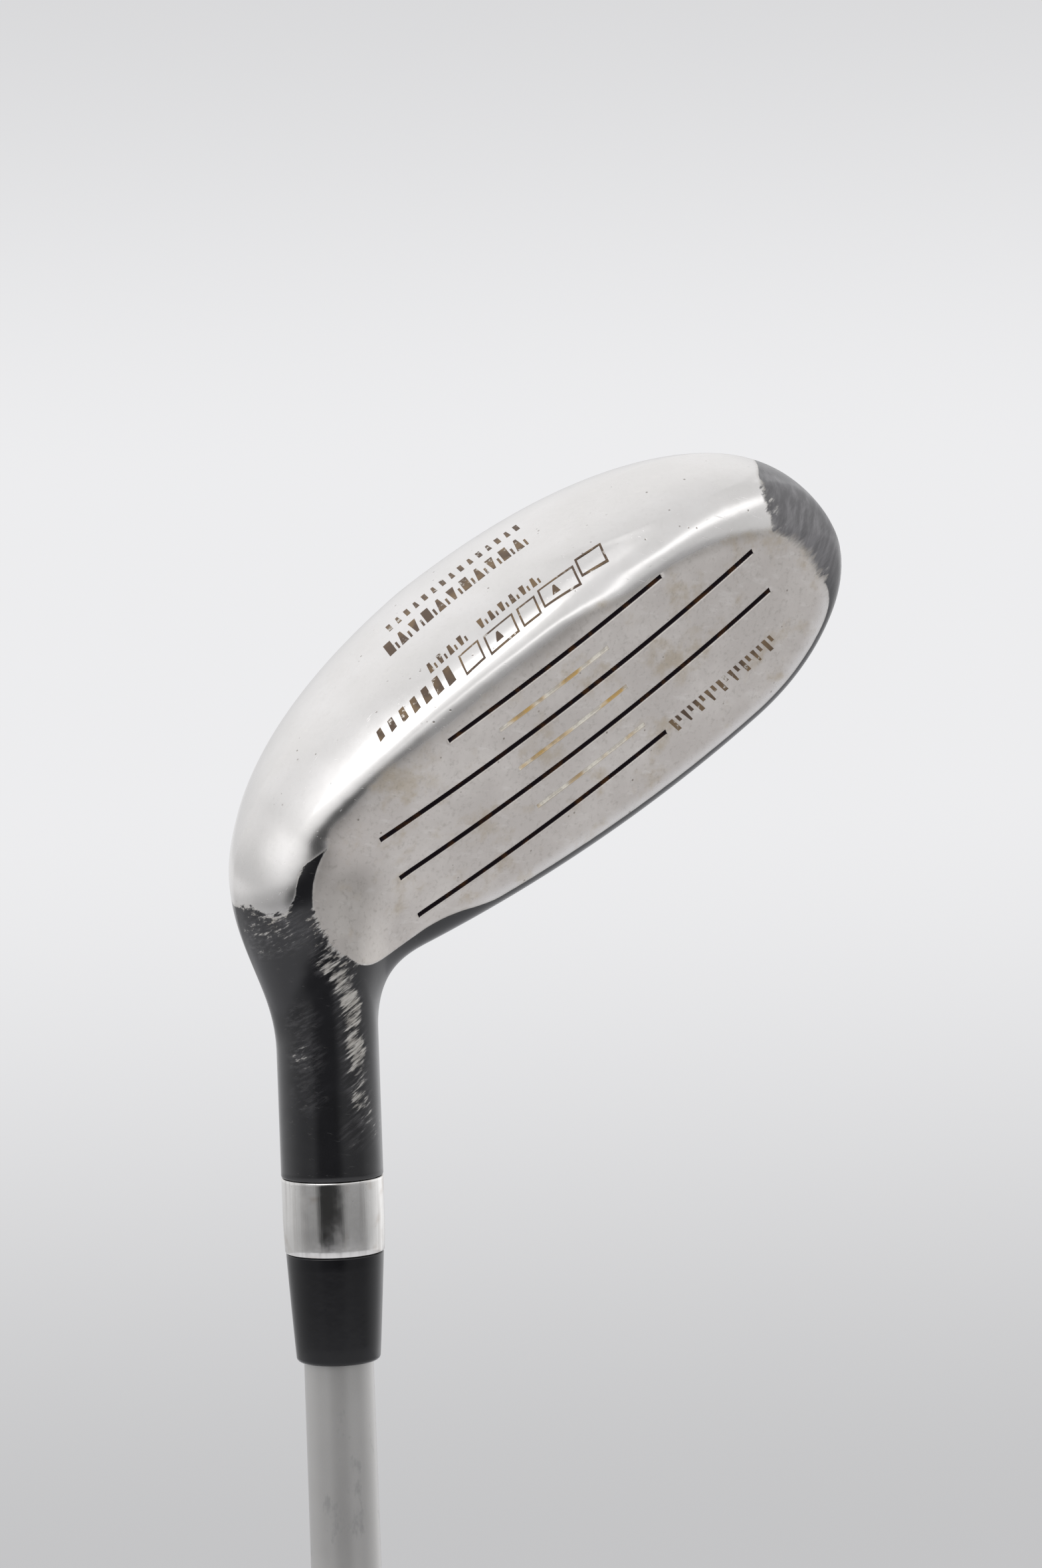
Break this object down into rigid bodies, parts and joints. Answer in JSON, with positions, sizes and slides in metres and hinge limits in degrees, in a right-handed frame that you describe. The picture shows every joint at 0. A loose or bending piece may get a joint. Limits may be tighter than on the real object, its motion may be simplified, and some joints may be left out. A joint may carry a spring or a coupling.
{
  "type": "hybrid golf club",
  "caption": "Right-handed steel-headed hybrid golf club with grooved loft face, black-painted hosel, tapered graphite shaft and rubber grip, for family golf.",
  "frame": {"origin": "centre of the grip end cap's flat face", "axes": "+Z along the shaft from the butt to the head, -Y the way the striking face looks, +X from heel to toe"},
  "size_m": [0.0939, 0.0501, 1.0432],
  "materials": {
    "head_steel": "satin face, polished sole, black paint on hosel and toe",
    "crown_black": "gloss black paint",
    "polished_ring": "polished",
    "ferrule_black": "gloss",
    "shaft_graphite": "satin clear-coated graphite, painted warm grey",
    "grip_rubber": "textured",
    "cap_rubber": "smooth",
    "tape_paper": "double-sided tape",
    "weight_brass": "turned",
    "plug_rubber": "moulded",
    "glue_amber": "soft hot-melt glue"
  },
  "bodies": {
    "root": {"head_body": "head_steel", "crown_plate": "crown_black", "rattle_glue": "glue_amber", "hosel_ring": "polished_ring", "ferrule": "ferrule_black", "shaft": "shaft_graphite", "tip_plug": "plug_rubber", "swing_weight": "weight_brass", "grip_tape": "tape_paper", "grip_sleeve": "grip_rubber", "grip_cap": "cap_rubber"}
  },
  "joints": []
}
